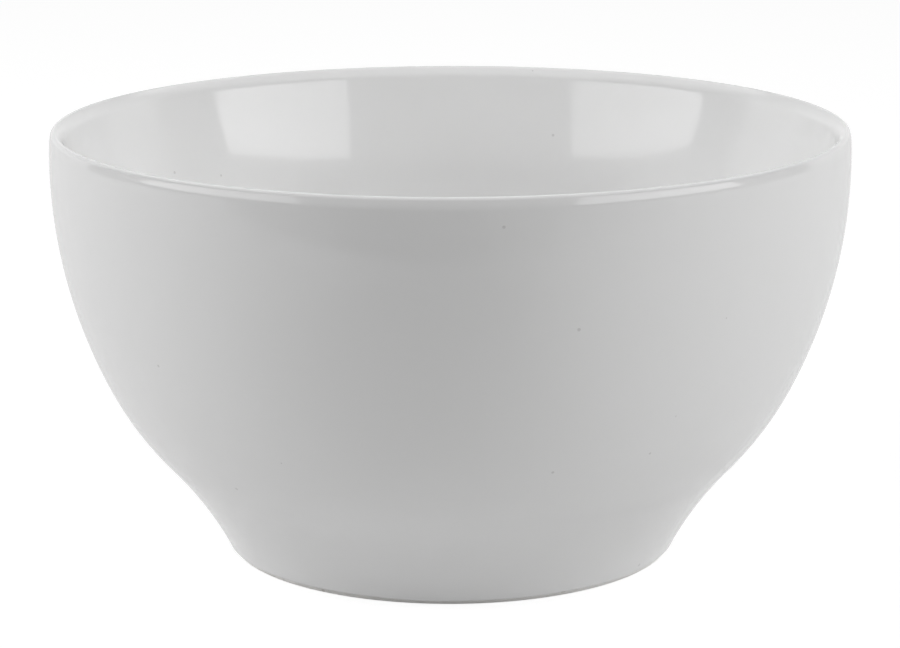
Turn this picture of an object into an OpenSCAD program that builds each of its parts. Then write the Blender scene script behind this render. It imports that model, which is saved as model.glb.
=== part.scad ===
// Latte bowl: a footed bowl of fired clay under a continuous coat of white glaze.
// One section of tangent arcs is turned about Z. The origin is the centre of the foot, on the table.

/* [Outside] */
// Widest diameter, a little under the lip
bowl_d = 140; // [120:1:165]
// Height from the table to the crest of the lip
bowl_h = 75.5; // [70:0.5:88]
// Depth of the widest circle under the crest
belly_drop = 5.5; // [4:0.5:8]
// Radius of the upper belly in the section
belly_r = 88; // [78:1:104]
// Height at which the belly tightens towards the foot
turn_z = 31; // [26:1:36]
// Radius of the lower belly in the section
hip_r = 58; // [48:1:62]

/* [Foot] */
// Diameter over the foot at the table
foot_d = 79; // [72:1:90]
// Radius of the hollow sweep from the belly down to the foot
flare_r = 70; // [55:1:90]
// Bevel sponged round the outer edge of the foot
foot_ease = 0.5; // [0.3:0.1:0.9]
// Diameter of the hollow inside the foot ring
recess_d = 69; // [60:1:70]
// Depth of the hollow inside the foot ring
recess_h = 3.5; // [2.5:0.5:5]
// Fillet between the hollow's side and its roof
recess_fillet = 2.5; // [1:0.5:2.5]

/* [Lip] */
// Radius over the crest of the lip
crest_r = 0.7; // [0.6:0.1:1.1]
// Distance of the crest in from the widest circle
crest_in = 1; // [0.9:0.05:1.4]
// Radius of the eased shoulder outside the crest
shoulder_r = 6.75; // [5.5:0.25:8]
// Radius of the eased shoulder inside the crest
cheek_r = 3; // [2.5:0.25:5]

/* [Inside] */
// Depth under the crest at which the lip's thickness is measured
lip_drop = 2.5; // [2:0.5:4]
// Thickness of the lip at that depth
lip_t = 2.7; // [2.4:0.1:3.6]
// Lean of the inside wall at that depth, in degrees
inside_lean = 7.5; // [5:0.5:10]
// Radius of the inside wall in the section
inside_r = 100; // [90:1:120]
// Radius of the round between the inside wall and the floor
corner_r = 32; // [26:1:40]
// Thickness of the floor over the foot's hollow
floor_t = 6; // [5:0.5:8]

/* [Glaze] */
// Thickness of the glaze
glaze_t = 0.35; // [0.2:0.05:0.5]
// Height of the glaze's lower edges above the table, where the foot is wiped bare
glaze_line = 0.7; // [0.5:0.1:1.5]

/* [Hidden] */
$fn = 240;
// Largest gap between an arc of the section and the chords that stand for it
chord_gap = 0.01;
bowl_r = bowl_d / 2;
recess_r = recess_d / 2;
floor_z = recess_h + floor_t;
belly_z = bowl_h - belly_drop;
// Least distance of the foot's edge from the circle of the lower belly, which the flare bridges
foot_gap = 1;
// Reach of a cutting outline past the surface that it cuts
past = 1;

function unit(v) = v / norm(v);
// Point where the ray from c towards p leaves a circle of radius r about c
function touch(c, r, p) = c + r * unit(p - c);
// Crossing of two circles; side is 1 on the left of the line from c1 to c2 and -1 on its right
function crossing(c1, r1, c2, r2, side) =
    let (d = norm(c2 - c1), u = unit(c2 - c1), a = (r1 * r1 - r2 * r2 + d * d) / (2 * d))
    c1 + a * u + side * sqrt(r1 * r1 - a * a) * [-u.y, u.x];
// Points along the arc about c from p up to, but without, q
function arc(c, p, q) =
    let (u = p - c, v = q - c, r = norm(u), start = atan2(u.y, u.x), sweep = atan2(cross(u, v), u * v))
    let (chords = ceil(abs(sweep) / (2 * acos(1 - chord_gap / r))))
    [for (i = [0:chords - 1]) let (a = start + sweep * i / chords) c + r * [cos(a), sin(a)]];

// Arc centres of the outside, from the top of the belly to the foot. The lower belly rounds the wall off between
// the turn and the foot: on a low bowl it is as tight as the room beside the foot's edge asks
belly = [bowl_r - belly_r, belly_z];
turn = asin((belly_z - turn_z) / belly_r);
turn_out = [cos(turn), -sin(turn)];
foot_edge = [foot_d / 2, 0];
turn_span = belly + belly_r * turn_out - foot_edge;
overhang = turn_span * turn_out + foot_gap;
hip_room = overhang > 0 ? (turn_span * turn_span - foot_gap * foot_gap) / (2 * overhang) : hip_r;
hip_bend = min(hip_r, hip_room);
hip = belly + (belly_r - hip_bend) * turn_out;
flare = crossing(hip, hip_bend + flare_r, foot_edge, flare_r, 1);

// Arc centres of the inside: the wall leans out towards the lip, and the corner rounds into a flat floor
wall = [bowl_r - lip_t, bowl_h - lip_drop] + inside_r * [-cos(inside_lean), sin(inside_lean)];
corner_z = floor_z + corner_r;
corner = [wall.x + sqrt(pow(inside_r - corner_r, 2) - pow(wall.y - corner_z, 2)), corner_z];

// Arc centres of the lip: its crest, and the shoulders that ease it into the belly and the inside wall
crest = [bowl_r - crest_in, bowl_h - crest_r];
shoulder = crossing(belly, belly_r - shoulder_r, crest, shoulder_r - crest_r, -1);
cheek = crossing(wall, inside_r + cheek_r, crest, cheek_r - crest_r, -1);

// Radius of the flare at height z, at a depth under the glazed surface
function flare_x(z, depth) = flare.x - sqrt(pow(flare_r + depth, 2) - pow(z - flare.y, 2));

// The arcs from the foot over the lip to the floor, and the joints at their ends at a depth under the surface
centres = [flare, hip, belly, shoulder, crest, cheek, wall, corner];
function joints(depth) = [
    [flare_x(foot_ease, depth), foot_ease],
    touch(hip, hip_bend - depth, flare),
    touch(belly, belly_r - depth, hip),
    touch(belly, belly_r - depth, shoulder),
    touch(shoulder, shoulder_r - depth, crest),
    touch(cheek, cheek_r - depth, crest),
    touch(wall, inside_r + depth, cheek),
    touch(wall, inside_r + depth, corner),
    [corner.x, floor_z - depth]
];

// Half section of the whole bowl at a depth under the glazed surface, with no hollow in the foot
module section(depth) {
    ends = joints(depth);
    polygon([
        [0, 0],
        [ends[0].x - foot_ease, 0],
        for (k = [0:len(centres) - 1]) each arc(centres[k], ends[k], ends[k + 1]),
        ends[len(centres)],
        [0, floor_z - depth]
    ]);
}

// Half section of the hollow inside the foot ring, at a depth under the glazed surface
module recess(depth) {
    fillet = [recess_r, recess_h] - recess_fillet * [1, 1];
    side = [recess_r + depth, fillet.y];
    roof = [fillet.x, recess_h + depth];
    polygon([[0, -past], [side.x, -past], each arc(fillet, side, roof), roof, [0, roof.y]]);
}

// Everything under the lower edge of the glaze
module bare_zone() {
    translate([0, -past]) square([bowl_d, glaze_line + past]);
}

// Fired clay, from the lip to the foot ring that it stands on
module clay_body() {
    color("linen") rotate_extrude() difference() {
        section(glaze_t);
        recess(glaze_t);
    }
}

// White glaze over the inside, the lip and the outside, down to the wiped edge of the foot
module glaze_coat() {
    color("whitesmoke") rotate_extrude() difference() {
        section(0);
        section(glaze_t);
        bare_zone();
    }
}

// White glaze in the hollow of the foot, parted from the coat by the bare foot ring
module underside_glaze() {
    color("whitesmoke") rotate_extrude() difference() {
        recess(glaze_t);
        recess(0);
        bare_zone();
    }
}

clay_body();
glaze_coat();
underside_glaze();
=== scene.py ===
# Latte bowl: a wide footed drinking bowl of fired clay under one coat of white glaze.
import math

import bpy
import numpy as np
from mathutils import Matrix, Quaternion, Vector


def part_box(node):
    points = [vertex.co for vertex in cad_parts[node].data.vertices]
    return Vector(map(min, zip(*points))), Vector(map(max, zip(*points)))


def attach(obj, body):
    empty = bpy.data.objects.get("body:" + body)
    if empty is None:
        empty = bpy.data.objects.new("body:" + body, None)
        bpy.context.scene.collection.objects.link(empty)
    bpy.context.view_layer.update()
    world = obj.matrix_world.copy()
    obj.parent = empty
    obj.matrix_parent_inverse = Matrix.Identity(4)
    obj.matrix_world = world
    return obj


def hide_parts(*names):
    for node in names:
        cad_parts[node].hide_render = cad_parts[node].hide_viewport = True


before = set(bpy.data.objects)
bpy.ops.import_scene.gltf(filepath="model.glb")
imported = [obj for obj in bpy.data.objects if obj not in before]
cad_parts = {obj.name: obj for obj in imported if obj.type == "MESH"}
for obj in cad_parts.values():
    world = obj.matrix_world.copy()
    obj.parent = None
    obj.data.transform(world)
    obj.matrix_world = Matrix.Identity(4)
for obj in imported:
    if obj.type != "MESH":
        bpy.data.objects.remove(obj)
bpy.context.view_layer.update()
mm = 0.001
white = (1, 1, 1, 1)
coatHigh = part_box("glaze_coat")[1]
print("frame loaded:", ", ".join(sorted(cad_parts)))

# Half section of the bowl, in metres: tangent arcs from the foot over the lip to the floor
bowl = {
    "radius": coatHigh.x,          # widest circle, a little under the lip
    "height": coatHigh.z,          # crest of the lip over the table
    "bellyDrop": 5.5 * mm,         # widest circle under the crest
    "bellyBend": 88 * mm,          # upper belly
    "turnHeight": 31 * mm,         # where the belly tightens towards the foot
    "hipBend": 58 * mm,            # lower belly
    "footRadius": 39.5 * mm,       # foot at the table
    "flareBend": 70 * mm,          # hollow sweep into the foot
    "footEase": 0.5 * mm,          # sponged edge of the foot
    "recessRadius": 34.5 * mm,     # hollow under the foot
    "recessHeight": 3.5 * mm,
    "recessFillet": 2.5 * mm,
    "crestBend": 0.7 * mm,         # top of the lip
    "crestIn": 1.0 * mm,           # crest in from the widest circle
    "shoulderBend": 6.75 * mm,     # eased edge outside the crest
    "cheekBend": 3 * mm,           # eased edge inside the crest
    "lipDrop": 2.5 * mm,           # depth at which the lip's thickness is taken
    "lipThickness": 2.7 * mm,
    "insideLean": math.radians(7.5),
    "insideBend": 100 * mm,        # inside wall
    "cornerBend": 32 * mm,         # round from the inside wall to the floor
    "floorThickness": 6 * mm,
    "glazeThickness": 0.35 * mm,
    "glazeLine": 0.7 * mm,         # lower edge of the glaze over the table
}
floorHeight = bowl["recessHeight"] + bowl["floorThickness"]

# Rows of the meshes along each stretch of the section, and steps round the axis
steps = {
    "floor": 8, "corner": 18, "wall": 26, "cheek": 9, "crest": 12,
    "shoulder": 13, "belly": 26, "hip": 14, "flare": 14,
    "fewest": 4,                   # on any arc of a coarse skin
    "recessRoof": 14, "recessFillet": 12, "recessSide": 4,
    "turn": 288,
}
turnAngle = 2 * np.pi * np.arange(steps["turn"])[None, :] / steps["turn"]


def unit(v):
    return v / np.hypot(*v)


def touch(centre, bend, towards):
    # point where the ray from an arc's centre towards another point leaves the arc
    return centre + bend * unit(towards - centre)


def crossing(centreA, bendA, centreB, bendB, side):
    # where two circles cross: along the line of centres, then square to it on the given side
    gap = np.hypot(*(centreB - centreA))
    along = unit(centreB - centreA)
    reach = (bendA ** 2 - bendB ** 2 + gap ** 2) / (2 * gap)
    square = np.array([-along[1], along[0]])
    return centreA + reach * along + side * math.sqrt(bendA ** 2 - reach ** 2) * square


def arc(centre, start, end, count):
    # points on a circle from start to end, at equal angles, the end left to the next arc
    a, b = start - centre, end - centre
    sweep = math.atan2(a[0] * b[1] - a[1] * b[0], a @ b)
    angle = math.atan2(a[1], a[0]) + sweep * np.arange(count) / count
    return centre + np.hypot(*a) * np.stack([np.cos(angle), np.sin(angle)], 1)


def arcCentres(b):
    # each arc is tangent to its neighbours, so its centre lies on their lines of centres
    belly = np.array([b["radius"] - b["bellyBend"], b["height"] - b["bellyDrop"]])
    turn = math.asin((belly[1] - b["turnHeight"]) / b["bellyBend"])
    hip = belly + (b["bellyBend"] - b["hipBend"]) * np.array([math.cos(turn), -math.sin(turn)])
    footEdge = np.array([b["footRadius"], 0])
    flare = crossing(hip, b["hipBend"] + b["flareBend"], footEdge, b["flareBend"], 1)
    lipPoint = np.array([b["radius"] - b["lipThickness"], b["height"] - b["lipDrop"]])
    wall = lipPoint + b["insideBend"] * np.array([-math.cos(b["insideLean"]), math.sin(b["insideLean"])])
    cornerHeight = floorHeight + b["cornerBend"]
    inward = math.sqrt((b["insideBend"] - b["cornerBend"]) ** 2 - (wall[1] - cornerHeight) ** 2)
    corner = np.array([wall[0] + inward, cornerHeight])
    crest = np.array([b["radius"] - b["crestIn"], b["height"] - b["crestBend"]])
    outerBend, innerBend = b["shoulderBend"], b["cheekBend"]
    shoulder = crossing(belly, b["bellyBend"] - outerBend, crest, outerBend - b["crestBend"], -1)
    cheek = crossing(wall, b["insideBend"] + innerBend, crest, innerBend - b["crestBend"], -1)
    return {"corner": corner, "wall": wall, "cheek": cheek, "crest": crest,
            "shoulder": shoulder, "belly": belly, "hip": hip, "flare": flare}


centres = arcCentres(bowl)
print("section: arcs", ", ".join(centres))


def flareRadius(height, depth):
    # radius of the foot's hollow sweep at a height, at a depth under the glaze: a circle about its centre
    bend = bowl["flareBend"] + depth
    return centres["flare"][0] - np.sqrt(bend ** 2 - (height - centres["flare"][1]) ** 2)


def skinProfile(depth, footHeight, density):
    # the half section from the axis over the floor, the inside wall and the lip down to a height on the flare
    b, c = bowl, centres
    ends = [
        np.array([c["corner"][0], floorHeight - depth]),
        touch(c["wall"], b["insideBend"] + depth, c["corner"]),
        touch(c["wall"], b["insideBend"] + depth, c["cheek"]),
        touch(c["cheek"], b["cheekBend"] - depth, c["crest"]),
        touch(c["shoulder"], b["shoulderBend"] - depth, c["crest"]),
        touch(c["belly"], b["bellyBend"] - depth, c["shoulder"]),
        touch(c["belly"], b["bellyBend"] - depth, c["hip"]),
        touch(c["hip"], b["hipBend"] - depth, c["flare"]),
        np.array([flareRadius(footHeight, depth), footHeight]),
    ]
    floor = np.linspace((0, floorHeight - depth), ends[0], steps["floor"], endpoint=False)
    rows = [floor]
    for (name, centre), start, end in zip(c.items(), ends, ends[1:]):
        count = max(steps["fewest"], round(steps[name] * density))
        rows.append(arc(centre, start, end, count))
    rows.append(ends[-1][None])
    return np.concatenate(rows)


def recessProfile(depth, footHeight):
    # the hollow under the foot: from the axis along its roof, round the fillet and down its side
    b = bowl
    fillet = np.array([b["recessRadius"], b["recessHeight"]]) - b["recessFillet"]
    roof = np.array([fillet[0], b["recessHeight"] + depth])
    side = np.array([b["recessRadius"] + depth, fillet[1]])
    roofLine = np.linspace((0, roof[1]), roof, steps["recessRoof"], endpoint=False)
    sideLine = np.linspace(side, (side[0], footHeight), steps["recessSide"])
    return np.concatenate([roofLine, arc(fillet, roof, side, steps["recessFillet"]), sideLine])


def latheGrid(radius, height):
    # a section point (r, z) at angle a stands at (r cos a, r sin a, z)
    return np.stack([radius * np.cos(turnAngle), radius * np.sin(turnAngle), height + 0 * turnAngle], -1)


def turned(profile):
    return latheGrid(profile[:, 0:1], profile[:, 1:2])


def closedLathe(name, *grids):
    # rows of the grid run round the axis; the first and the last row shrink to one point each on the axis
    grid = np.concatenate(grids)
    rows, segments = grid.shape[0] - 2, grid.shape[1]
    points = np.concatenate([grid[1:-1].reshape(-1, 3), grid[0, :1], grid[-1, :1]])
    here = np.arange(segments)
    after = (here + 1) % segments
    row = np.arange(rows - 1)[:, None] * segments
    nextRow = row + segments
    quads = np.stack([row + here, nextRow + here, nextRow + after, row + after], -1).reshape(-1, 4)
    first, last = rows * segments, rows * segments + 1
    lastRow = (rows - 1) * segments
    startFan = np.stack([np.full(segments, first), here, after], 1)
    endFan = np.stack([lastRow + here, np.full(segments, last), lastRow + after], 1)
    mesh = bpy.data.meshes.new(name)
    mesh.from_pydata(points.tolist(), [], quads.tolist() + startFan.tolist() + endFan.tolist())
    mesh.polygons.foreach_set("use_smooth", np.ones(len(mesh.polygons), bool))
    mesh.update()
    piece = bpy.data.objects.new(name, mesh)
    bpy.context.scene.collection.objects.link(piece)
    print("piece:", name, len(mesh.polygons), "faces")
    return piece


# White glaze over the inside, the lip and the outside
glaze = {
    "wave": 0.05 * mm,             # how far the fired surface wanders inwards
    "swell": 0.22 * mm,            # how far the glaze gathers inside, under the lip
    "swellDrop": 13 * mm,          # where it is thickest, under the crest
    "edgeLift": 0.22 * mm,         # how unevenly the foot was wiped
    "edgeStart": 1.7 * mm,         # height at which the even surface passes into the wiped edge
    "edgeSteps": 10,
    "hiddenDensity": 0.6,          # fewer rows where the glaze lies on the clay
    "undersideShift": 1.3,         # turn of the wiped line under the foot against the one outside
    # size, turns round the axis, phase, and change of phase from the table to the crest
    "surfaceWaves": ((1.0, 2, 0.7, 0.0), (0.6, 3, -2.1, 2.0), (0.5, 5, 0.0, 4.0)),
    "wipeWaves": ((1.0, 3, 0.4, 0.0), (0.7, 7, 1.9, 0.0), (0.4, 13, 0.0, 0.0)),
}


def waveSum(waves, angle, height):
    # a few slow waves round the axis and up the wall, brought between 0 and 1 by the sum of their sizes
    up = height / bowl["height"]
    total = sum(size * np.cos(turns * angle + phase + climb * up) for size, turns, phase, climb in waves)
    return 0.5 + total / (2 * sum(wave[0] for wave in waves))


def wipedEdge(radiusAt, shift, swing):
    # a half round on the sponge's uneven line: depth and height follow a half circle of the glaze's thickness
    half = bowl["glazeThickness"] / 2
    lift = glaze["edgeLift"] * waveSum(glaze["wipeWaves"], turnAngle + shift, 0)
    height = bowl["glazeLine"] + lift + half * (1 - np.sin(swing))
    return latheGrid(radiusAt(height, half * (1 - np.cos(swing))), height)


halfTurn = np.linspace(0, np.pi, glaze["edgeSteps"])[:, None]


def makeGlazeCoat():
    outer = skinProfile(0, glaze["edgeStart"], 1)
    inner = skinProfile(bowl["glazeThickness"], glaze["edgeStart"], glaze["hiddenDensity"])[::-1]
    radius, height = outer[:, 0:1], outer[:, 1:2]
    # inside, the glaze swells by x e^(1 - x), where x is the depth under the crest over the thickest place's
    inside = np.arange(len(outer))[:, None] < outer[:, 1].argmax()
    drop = (bowl["height"] - height) / glaze["swellDrop"]
    wander = glaze["wave"] * waveSum(glaze["surfaceWaves"], turnAngle, height)
    inward = wander + glaze["swell"] * inside * drop * np.exp(1 - drop)
    # near the axis the surface moves in proportion to the radius, so the floor stays whole
    surface = latheGrid(radius * (1 - inward / np.maximum(radius, bowl["recessRadius"])), height)
    return closedLathe("glazeCoat", surface, wipedEdge(flareRadius, 0, halfTurn), turned(inner))


# Fired clay, which shows as the bare ring that the bowl stands on
clay = {
    "ringRound": 0.35 * mm,        # worn inner edge of the standing ring
    "easeSteps": 6,
    "faceSteps": 4,
    "density": 0.6,                # fewer rows where the clay lies under the glaze
}


def makeClayBody():
    thick, ease, worn = bowl["glazeThickness"], bowl["footEase"], clay["ringRound"]
    skin = skinProfile(thick, ease, clay["density"])
    # the sponged outer edge: a quarter round from the flare down to the table
    outerRadius = flareRadius(ease, thick)
    outerCentre = np.array([outerRadius - ease, ease])
    outerEdge = arc(outerCentre, np.array([outerRadius, ease]), outerCentre * (1, 0), clay["easeSteps"])
    # the worn inner edge: a quarter round from the table up into the hollow
    innerRadius = bowl["recessRadius"] + thick
    innerCentre = np.array([innerRadius + worn, worn])
    innerEdge = arc(innerCentre, innerCentre * (1, 0), np.array([innerRadius, worn]), clay["easeSteps"])
    face = np.linspace((outerCentre[0], 0), (innerCentre[0], 0), clay["faceSteps"], endpoint=False)
    hollow = recessProfile(thick, worn)[::-1]
    return closedLathe("clayBody", turned(np.concatenate([skin, outerEdge[1:], face, innerEdge, hollow])))


# White glaze in the hollow of the foot
def recessSide(height, depth):
    # the hollow's side is upright, so its radius is the same at every height
    return bowl["recessRadius"] + depth + 0 * height


def makeUndersideGlaze():
    below = recessProfile(0, glaze["edgeStart"])[::-1]
    above = recessProfile(bowl["glazeThickness"], glaze["edgeStart"])
    edge = wipedEdge(recessSide, glaze["undersideShift"], halfTurn[::-1])
    return closedLathe("undersideGlaze", turned(above), edge, turned(below))


glazeCoat = makeGlazeCoat()
clayBody = makeClayBody()
undersideGlaze = makeUndersideGlaze()
for piece, node, slot in ((glazeCoat, "glaze_coat", "white_glaze"), (clayBody, "clay_body", "bare_clay"),
                          (undersideGlaze, "underside_glaze", "white_glaze")):
    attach(piece, "root")
    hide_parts(node)


# Shader maths: a wire is a socket that takes + - * < > with other wires and with numbers
class Wire:
    def __init__(self, shader, socket):
        self.shader = shader
        self.socket = socket

    def maths(self, operation, left, right):
        return self.shader.add("ShaderNodeMath", {"operation": operation}, {0: left, 1: right})

    def __add__(self, other):
        return self.maths("ADD", self, other)

    def __radd__(self, other):
        return self.maths("ADD", other, self)

    def __sub__(self, other):
        return self.maths("SUBTRACT", self, other)

    def __mul__(self, other):
        return self.maths("MULTIPLY", self, other)

    def __rmul__(self, other):
        return self.maths("MULTIPLY", other, self)

    def __lt__(self, other):
        return self.maths("LESS_THAN", self, other)

    def __gt__(self, other):
        return self.maths("GREATER_THAN", self, other)


class Shader:
    def __init__(self, tree):
        self.tree = tree
        tree.nodes.clear()

    def add(self, kind, settings, inputs, output=0):
        # settings first, since they can change the node's sockets, then values or wires
        node = self.tree.nodes.new(kind)
        for name, value in settings.items():
            setattr(node, name, value)
        for name, value in inputs.items():
            if isinstance(value, Wire):
                self.tree.links.new(value.socket, node.inputs[name])
            else:
                node.inputs[name].default_value = value
        return Wire(self, node.outputs[output])

    def place(self, scale):
        # object coordinates in the given unit
        point = self.add("ShaderNodeTexCoord", {}, {}, output="Object")
        return self.add("ShaderNodeVectorMath", {"operation": "SCALE"}, {0: point, "Scale": scale})

    def noise(self, point, scale, detail):
        return self.add("ShaderNodeTexNoise", {}, {"Vector": point, "Scale": scale, "Detail": detail})

    def blend(self, factor, colourA, colourB):
        settings = {"data_type": "RGBA", "blend_type": "MIX"}
        return self.add("ShaderNodeMix", settings, {0: factor, 6: colourA, 7: colourB}, output=2)

    def bump(self, height, distance):
        return self.add("ShaderNodeBump", {}, {"Strength": 1.0, "Distance": distance, "Height": height})

    def emission(self, colour, strength):
        return self.add("ShaderNodeEmission", {}, {"Color": colour, "Strength": strength})

    def mix(self, factor, surfaceA, surfaceB):
        return self.add("ShaderNodeMixShader", {}, {0: factor, 1: surfaceA, 2: surfaceB})

    def seen(self, *rays):
        # 1 for a ray of one of the given kinds, 0 for any other
        path = [self.add("ShaderNodeLightPath", {}, {}, output="Is %s Ray" % ray) for ray in rays]
        total = path[0]
        for other in path[1:]:
            total = total.maths("MAXIMUM", total, other)
        return total

    def finish(self, surface, kind="ShaderNodeOutputMaterial"):
        node = self.tree.nodes.new(kind)
        self.tree.links.new(surface.socket, node.inputs["Surface"])


def newMaterial(name):
    material = bpy.data.materials.new(name)
    material.use_nodes = True
    return material, Shader(material.node_tree)


# White glaze: clean, hard and glossy, with a faint cloudiness, an eggshell ripple and a few kiln specks
glazeFinish = {
    "colour": (0.90, 0.90, 0.90, 1),
    "cloudColour": (0.885, 0.885, 0.882, 1),
    "cloudScale": 0.045,           # clouds per mm
    "cloudDetail": 3.0,
    "speckColour": (0.42, 0.41, 0.40, 1),
    "speckCell": 4.0,              # spacing of the places where a speck may sit, mm
    "speckSize": 0.4,              # radius of the largest speck, mm
    "speckLeast": 0.35,            # radius of the smallest, as a share of the largest
    "speckShare": 0.10,            # share of those places that have one
    "speckStrength": 0.32,
    "speckRoughness": 0.15,
    "roughness": 0.09,
    "roughnessSpread": 0.03,
    "ripple": 0.012 * mm,          # height of the eggshell ripple
    "rippleScale": 0.22,           # ripples per mm
    "rippleDetail": 1.0,
    "refraction": 1.5,
}


def makeGlazeMaterial():
    g = glazeFinish
    material, s = newMaterial("whiteGlaze")
    point = s.place(1 / mm)
    cloud = s.noise(point, g["cloudScale"], g["cloudDetail"])
    colour = s.blend(cloud, g["colour"], g["cloudColour"])
    # a speck: within its own radius of its cell's point, in the cells that chance picks
    cells = {"voronoi_dimensions": "3D", "feature": "F1"}
    seat = {"Vector": point, "Scale": 1 / g["speckCell"], "Randomness": 1.0}
    distance = s.add("ShaderNodeTexVoronoi", cells, seat, output="Distance")
    pick = s.add("ShaderNodeTexVoronoi", cells, seat, output="Color")
    chance = s.add("ShaderNodeSeparateColor", {}, {"Color": pick}, output="Red")
    size = s.add("ShaderNodeSeparateColor", {}, {"Color": pick}, output="Green")
    limit = (g["speckLeast"] + (1 - g["speckLeast"]) * size) * (g["speckSize"] / g["speckCell"])
    speck = (distance < limit) * (chance < g["speckShare"])
    colour = s.blend(speck * g["speckStrength"], colour, g["speckColour"])
    roughness = g["roughness"] + g["roughnessSpread"] * (cloud - 0.5) + g["speckRoughness"] * speck
    normal = s.bump(s.noise(point, g["rippleScale"], g["rippleDetail"]), g["ripple"])
    s.finish(s.add("ShaderNodeBsdfPrincipled", {}, {"Base Color": colour, "Roughness": roughness,
                                                    "IOR": g["refraction"], "Normal": normal}))
    return material


# Bare clay: fine pale stoneware, dry to the touch, with grog, iron flecks and a greyed standing face
clayFinish = {
    "colour": (0.85, 0.84, 0.82, 1),
    "paleColour": (0.89, 0.88, 0.86, 1),
    "grogScale": 1.6,              # grains per mm
    "grogDetail": 4.0,
    "grain": 0.05 * mm,            # height of the grains
    "fleckColour": (0.45, 0.42, 0.38, 1),
    "fleckScale": 0.9,
    "fleckDetail": 1.0,
    "fleckFrom": 0.7,              # noise over which a fleck shows
    "fleckStrength": 0.5,
    "wornColour": (0.70, 0.69, 0.67, 1),
    "wornHeight": 0.08,            # greyed up to this height over the table, mm
    "wornScale": 0.35,
    "wornDetail": 3.0,
    "wornFrom": 0.48,              # noise over which the face is greyed
    "wornStrength": 0.5,
    "wornSmoothing": 0.12,
    "roughness": 0.82,
    "roughnessSpread": 0.12,
    "refraction": 1.45,
}


def makeClayMaterial():
    c = clayFinish
    material, s = newMaterial("bareClay")
    point = s.place(1 / mm)
    grog = s.noise(point, c["grogScale"], c["grogDetail"])
    colour = s.blend(grog, c["colour"], c["paleColour"])
    fleck = s.noise(point, c["fleckScale"], c["fleckDetail"]) > c["fleckFrom"]
    colour = s.blend(fleck * c["fleckStrength"], colour, c["fleckColour"])
    height = s.add("ShaderNodeSeparateXYZ", {}, {"Vector": point}, output="Z")
    worn = (height < c["wornHeight"]) * (s.noise(point, c["wornScale"], c["wornDetail"]) > c["wornFrom"])
    colour = s.blend(worn * c["wornStrength"], colour, c["wornColour"])
    roughness = c["roughness"] + c["roughnessSpread"] * (grog - 0.5) - c["wornSmoothing"] * worn
    normal = s.bump(grog, c["grain"])
    s.finish(s.add("ShaderNodeBsdfPrincipled", {}, {"Base Color": colour, "Roughness": roughness,
                                                    "IOR": c["refraction"], "Normal": normal}))
    return material


whiteGlaze = makeGlazeMaterial()
bareClay = makeClayMaterial()
for piece, material in ((glazeCoat, whiteGlaze), (undersideGlaze, whiteGlaze), (clayBody, bareClay)):
    piece.data.materials.append(material)
print("materials:", whiteGlaze.name, bareClay.name)


# Stage: a white table, and panels that show only in the gloss. A ring of them stands upright: dark behind
# each side, a soft box on each side and a grey front, each with a dark foot and a sheet over it. Others fill
# the view past the table's front edge and overhead. A panel of the ring stands between two posts, and a tone
# of 1 is white
stage = {
    "tableFront": -0.27,           # the table ends in front of the camera's view
    "tableReach": 6.0,
    "tableColour": (0.82, 0.82, 0.82, 1),
    "tableGlow": 0.85,             # what the camera sees of the table without any light on it
    "tableShade": (0.26, 0.26, 0.26, 1),   # what it sees of the light and the bowl's shadow on it
    "tableSheen": 0.79,            # what the gloss sees of the table
    # painted shade: an ellipse in front of the bowl where the gloss sees the table dimmer, fully so within
    # its inner half
    "tablePaintedShade": {"centre": (-0.01, -0.25), "reach": (0.12, 0.19), "colour": (0.5, 0.5, 0.5, 1), "slope": 2.0},
    "sheetRise": 0.5,              # slope from the lip up to the top of the sheets
    # x, y at the foot, y at the top, heights of the dark foot's edges and of the top
    "posts": ((0.43, 0.17, 0.17, 0.049, 0.083, 0.131), (0.80, -0.088, -0.13, 0.025, 0.093, 0.25),
              (0.49, -0.76, -0.68, 0.045, 0.085, 0.39), (0.0, -0.70, -0.70, 0.045, 0.085, 0.375),
              (-0.49, -0.61, -0.51, 0.045, 0.085, 0.328), (-0.80, 0.03, -0.035, 0.025, 0.093, 0.222),
              (-0.43, 0.185, 0.185, 0.049, 0.083, 0.128)),
    # tones of the foot, the panel and the sheet
    "rows": ("Foot", "", "Sheet"),
    "panels": {"darkRight": (0.0, 0.0, 0.0), "boxRight": (0.0, 3.15, 0.1), "frontRight": (0.0, 0.75, 0.4),
               "frontLeft": (0.0, 0.8, 0.3), "boxLeft": (0.0, 2.85, 0.1), "darkLeft": (0.0, 0.0, 0.0)},
    # a tone between each x and the next
    "under": {"y": -1.5, "z": (-2, -0.02), "x": (-3, -0.95, 0.3, 0.8, 3), "tones": (0.2, 0.0, 0.3, 0.6)},
    "overhead": {"tone": 2.0, "height": 0.9, "x": (-0.9, 0.9), "y": (-0.9, 0.9)},
}


def sheetPiece(name, corners, material):
    # a flat sheet from the two corners of its first edge and the two of its last
    mesh = bpy.data.meshes.new(name)
    mesh.from_pydata(corners, [], [(0, 1, 3, 2)])
    mesh.materials.append(material)
    sheet = bpy.data.objects.new(name, mesh)
    bpy.context.scene.collection.objects.link(sheet)
    return sheet


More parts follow.
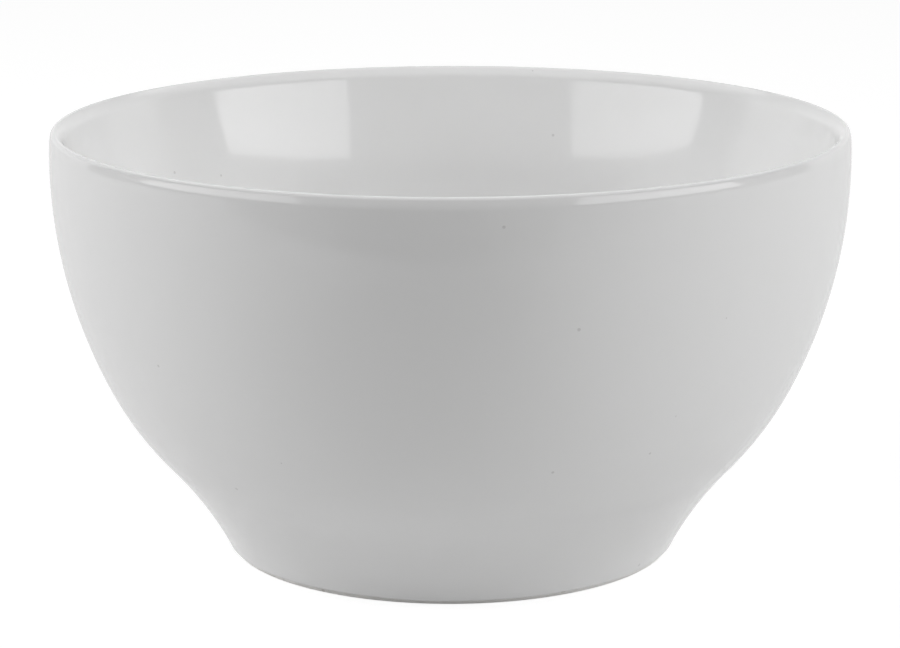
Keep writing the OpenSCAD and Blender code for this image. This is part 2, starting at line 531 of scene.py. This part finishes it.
def makeTable():
    # the camera sees white with the bowl's shadow on it, the gloss a little less with a painted shade in
    # front of the bowl, soft light the plain table
    material, s = newMaterial("whiteTable")
    lit = s.add("ShaderNodeBsdfDiffuse", {}, {"Color": stage["tableColour"]})
    shade = s.add("ShaderNodeBsdfDiffuse", {}, {"Color": stage["tableShade"]})
    bright = s.add("ShaderNodeAddShader", {}, {0: shade, 1: s.emission(white, stage["tableGlow"])})
    # painted shade: the gloss sees the table darker within an ellipse in front of the bowl
    # the gradient is 1 at the ellipse's centre and 0 at its edge, and its slope lifts the inner part past 1
    paintedShade = stage["tablePaintedShade"]
    ellipse = {"Vector": s.place(1.0), "Location": (*paintedShade["centre"], 0), "Scale": (*paintedShade["reach"], 1)}
    inEllipse = s.add("ShaderNodeMapping", {"vector_type": "TEXTURE"}, ellipse)
    share = s.add("ShaderNodeTexGradient", {"gradient_type": "SPHERICAL"}, {"Vector": inEllipse}, output=1)
    sheen = s.emission(s.blend(share * paintedShade["slope"], white, paintedShade["colour"]), stage["tableSheen"])
    s.finish(s.mix(s.seen("Camera"), s.mix(s.seen("Glossy", "Transmission"), lit, sheen), bright))
    reach = stage["tableReach"]
    corners = [(x, y, 0) for y in (stage["tableFront"], reach) for x in (-reach, reach)]
    sheetPiece("table", corners, material)


def makePanel(name, tone, corners):
    # a flat sheet that gives its tone to the gloss and no light
    material, s = newMaterial(name)
    s.finish(s.emission(white, tone))
    panel = sheetPiece(name, corners, material)
    panel.visible_camera = False
    panel.visible_diffuse = False
    panel.visible_shadow = False


def postPoints(x, footY, topY, low, high, top):
    # from the ground up: the foot's two edges, the panel's top and the sheet's top, on a slope from the lip
    sheetTop = bowl["height"] + stage["sheetRise"] * math.hypot(x, topY)
    return (x, footY, low), (x, footY, high), (x, topY, top), (x, topY, sheetTop)


def makePanels():
    posts = [postPoints(*post) for post in stage["posts"]]
    for (name, tones), *ends in zip(stage["panels"].items(), posts, posts[1:]):
        for k, tone in enumerate(tones):
            makePanel(name + stage["rows"][k], tone, [end[edge] for edge in (k, k + 1) for end in ends])
    under = stage["under"]
    for k, tone in enumerate(under["tones"]):
        makePanel("under%d" % k, tone, [(x, under["y"], z) for z in under["z"] for x in under["x"][k:k + 2]])
    over = stage["overhead"]
    makePanel("overhead", over["tone"], [(x, y, over["height"]) for y in over["y"] for x in over["x"]])


makeTable()
makePanels()

# Studio lamps: a tall soft wall on each side and one behind. Bearings run from the camera's side of the bowl
# round to its back, and the lower and upper edges are shares of the distance, over the height of the rim
rimHeight = 0.066
lamps = {
    "wallRight": {"side": 1, "distance": 1.0, "facing": 90, "span": (54, 92), "low": 0.2, "high": 1.1,
                  "radiance": 3.95},
    "wallLeft": {"side": -1, "distance": 1.0, "facing": 90, "span": (64, 104), "low": 0.2, "high": 1.1,
                 "radiance": 3.92},
    "wallBack": {"side": 1, "distance": 1.2, "facing": 180, "span": (145, 215), "low": 0.8, "high": 1.3,
                 "radiance": 2.15},
}


def makeLamp(name, settings):
    # a flat panel on the plane square to its facing direction, between two bearings and two edges
    distance, side = settings["distance"], settings["side"]
    facing = math.radians(settings["facing"])
    near, far = (distance * math.tan(math.radians(bearing) - facing) for bearing in settings["span"])
    low, high = distance * settings["low"], distance * settings["high"]
    outward = Vector((side * math.sin(facing), -math.cos(facing), 0))
    along = Vector((side * math.cos(facing), math.sin(facing), 0))
    up = Vector((0, 0, 1))
    light = bpy.data.lights.new(name, "AREA")
    light.shape = "RECTANGLE"
    light.size, light.size_y = far - near, high - low
    light.energy = settings["radiance"] * math.pi * light.size * light.size_y
    lamp = bpy.data.objects.new(name, light)
    lamp.location = distance * outward + (near + far) / 2 * along + (rimHeight + (low + high) / 2) * up
    lamp.rotation_mode = "QUATERNION"
    lamp.rotation_quaternion = (-outward).to_track_quat("-Z", "Y")
    lamp.visible_camera = False
    lamp.visible_glossy = False
    bpy.context.scene.collection.objects.link(lamp)


for name, settings in lamps.items():
    makeLamp(name, settings)

# World: white where it is seen, a plain grey where it gives light
room = {"seen": 1.0, "light": 0.21}


def makeRoom():
    world = bpy.data.worlds.new("room")
    world.use_nodes = True
    s = Shader(world.node_tree)
    light = s.add("ShaderNodeBackground", {}, {"Color": white, "Strength": room["light"]})
    backdrop = s.add("ShaderNodeBackground", {}, {"Color": white, "Strength": room["seen"]})
    s.finish(s.mix(s.seen("Camera", "Glossy", "Transmission"), light, backdrop), "ShaderNodeOutputWorld")
    bpy.context.scene.world = world


makeRoom()
print("stage and lamps set:", ", ".join(lamps))

# Camera: where the photograph was taken from, worked out from the outline of the rim, belly and foot
view = {
    "target": Vector((-0.12 * mm, 0, 39.38 * mm)),
    "distance": 551.3 * mm,
    "elevation": math.radians(13.14),
    "roll": math.radians(-0.12),
    "focalPixels": 3097.6,         # focal length in pixels of a picture 900 wide
    "pictureWidth": 900,
    "sensor": 36.0,
    "clip": (0.01, 50),
}


def makeCamera():
    data = bpy.data.cameras.new("camera")
    data.sensor_fit = "HORIZONTAL"
    data.sensor_width = view["sensor"]
    data.lens = view["focalPixels"] * view["sensor"] / view["pictureWidth"]
    data.clip_start, data.clip_end = view["clip"]
    camera = bpy.data.objects.new("camera", data)
    back = Vector((0, -math.cos(view["elevation"]), math.sin(view["elevation"])))
    camera.location = view["target"] + view["distance"] * back
    camera.rotation_mode = "QUATERNION"
    camera.rotation_quaternion = (-back).to_track_quat("-Z", "Y") @ Quaternion((0, 0, 1), view["roll"])
    bpy.context.scene.collection.objects.link(camera)
    bpy.context.scene.camera = camera


makeCamera()
bpy.context.scene.view_settings.view_transform = "Standard"
print("camera set")
